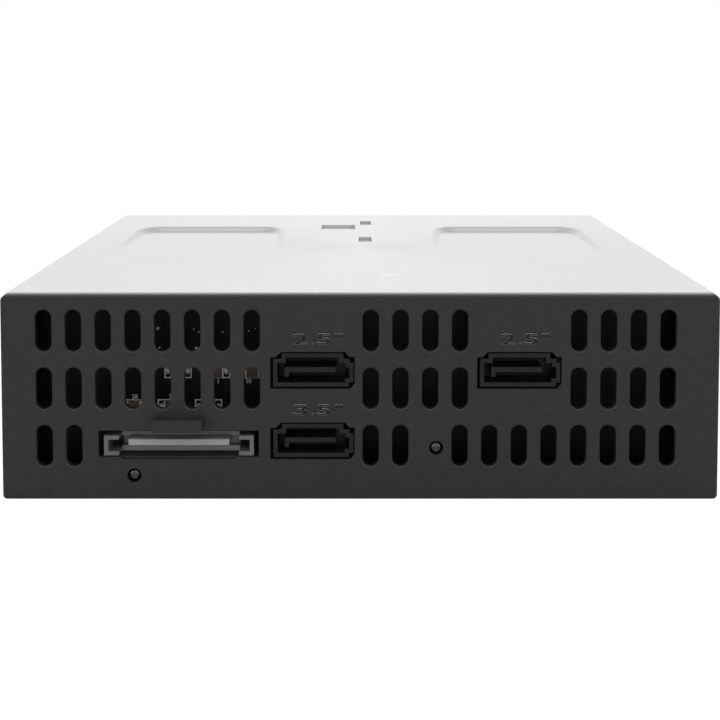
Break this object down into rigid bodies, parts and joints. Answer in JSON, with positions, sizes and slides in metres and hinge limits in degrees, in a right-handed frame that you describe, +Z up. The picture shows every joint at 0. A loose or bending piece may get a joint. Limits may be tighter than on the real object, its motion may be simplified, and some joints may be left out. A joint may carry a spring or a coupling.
{
  "type": "hot swap drive cage",
  "caption": "Hot swap drive cage for a half-height 5.25 inch bay: 2.5 inch bays side by side over a 3.5 inch bay, side-hinged doors, vented rear panel with data ports and a power inlet.",
  "frame": {"origin": "centre of the underside", "axes": "+Z up, +Y towards the rear panel with the ports, the doors face -Y"},
  "size_m": [0.146, 0.1716, 0.0424],
  "materials": {
    "black_moulding": "moulded, fine spark texture",
    "board": "black solder mask on glass laminate",
    "button_plastic": "moulded, dark grey",
    "cable_film": "laminated film",
    "can_sleeve": "drawn can",
    "chip_resin": "moulded resin",
    "clear_plastic": "clear, polished",
    "contact_metal": "gold-plated strip",
    "cover_sheet": "zinc-plated sheet, satin, pressed and lanced",
    "grey_moulding": "moulded, grey",
    "lamp_resin": "cast resin",
    "pad_rubber": "moulded",
    "screw_steel": "plated steel",
    "sheet_steel": "zinc-plated sheet, satin",
    "socket_plastic": "moulded, black",
    "spring_steel": "rolled spring strip"
  },
  "bodies": {
    "cage": {"backplane_board": "board", "base_tray": "sheet_steel", "bay_deck": "black_moulding", "bay_divider": "sheet_steel", "bay_rail": "black_moulding", "bay_wall": "black_moulding", "board_chips": "chip_resin", "board_link": "socket_plastic", "board_screws": "screw_steel", "button_spring_1": "spring_steel", "button_spring_2": "spring_steel", "button_spring_3": "spring_steel", "cable_sockets": "socket_plastic", "capacitors": "can_sleeve", "cover_screw": "screw_steel", "data_port_1": "socket_plastic", "data_port_2": "socket_plastic", "data_port_3": "socket_plastic", "data_port_contacts": "contact_metal", "drive_socket_contacts": "contact_metal", "flat_cable": "cable_film", "front_bezel": "black_moulding", "front_board": "board", "front_board_screws": "screw_steel", "hinge_pins": "screw_steel", "large_drive_socket": "socket_plastic", "left_drive_socket": "socket_plastic", "light_pipes": "clear_plastic", "panel_screws": "screw_steel", "power_inlet": "grey_moulding", "power_inlet_contacts": "contact_metal", "power_inlet_guides": "grey_moulding", "power_switches": "socket_plastic", "rear_panel": "black_moulding", "right_drive_socket": "socket_plastic", "slide_studs": "screw_steel", "status_lamps": "lamp_resin", "top_cover": "cover_sheet", "upper_board": "board", "upper_board_screws": "screw_steel"},
    "right_door": {"right_door": "black_moulding", "right_door_pad": "pad_rubber"},
    "left_door": {"left_door": "black_moulding", "left_door_pad": "pad_rubber"},
    "large_door": {"large_door": "black_moulding", "large_door_pad": "pad_rubber"},
    "right_ejector": {"right_ejector": "sheet_steel"},
    "left_ejector": {"left_ejector": "sheet_steel"},
    "large_ejector": {"large_ejector": "sheet_steel"},
    "power_button_1": {"power_button_1": "button_plastic"},
    "power_button_2": {"power_button_2": "button_plastic"},
    "power_button_3": {"power_button_3": "button_plastic"}
  },
  "joints": [
    {"name": "right_door_hinge", "type": "hinge", "parent": "cage", "child": "right_door", "pos_m": [0.0717, -0.0844, 0.035], "axis": [0, 0, 1], "range_deg": [0, 100]},
    {"name": "right_ejector_slide", "type": "slide", "parent": "cage", "child": "right_ejector", "axis": [0, -1, 0], "range_m": [0, 0.01049]},
    {"name": "left_door_hinge", "type": "hinge", "parent": "cage", "child": "left_door", "pos_m": [-0.0717, -0.0844, 0.035], "axis": [0, 0, -1], "range_deg": [0, 100]},
    {"name": "left_ejector_slide", "type": "slide", "parent": "cage", "child": "left_ejector", "axis": [0, -1, 0], "range_m": [0, 0.01049]},
    {"name": "large_door_hinge", "type": "hinge", "parent": "cage", "child": "large_door", "pos_m": [-0.0717, -0.0844, 0.015], "axis": [0, 0, -1], "range_deg": [0, 100]},
    {"name": "large_ejector_slide", "type": "slide", "parent": "cage", "child": "large_ejector", "axis": [0, -1, 0], "range_m": [0, 0.01311]},
    {"name": "power_button_1_press", "type": "slide", "parent": "cage", "child": "power_button_1", "axis": [0, 1, 0], "range_m": [0, 0.0008], "stiffness_N_per_m": 300, "springref_m": -0.0004, "deforming": ["button_spring_1"]},
    {"name": "power_button_2_press", "type": "slide", "parent": "cage", "child": "power_button_2", "axis": [0, 1, 0], "range_m": [0, 0.0008], "stiffness_N_per_m": 300, "springref_m": -0.0004, "deforming": ["button_spring_2"]},
    {"name": "power_button_3_press", "type": "slide", "parent": "cage", "child": "power_button_3", "axis": [0, 1, 0], "range_m": [0, 0.0008], "stiffness_N_per_m": 300, "springref_m": -0.0004, "deforming": ["button_spring_3"]}
  ],
  "couplings": [
    {"joint": "right_ejector_slide", "follows": "right_door_hinge", "m_per_rad": 0.006},
    {"joint": "left_ejector_slide", "follows": "left_door_hinge", "m_per_rad": 0.006},
    {"joint": "large_ejector_slide", "follows": "large_door_hinge", "m_per_rad": 0.0075}
  ]
}
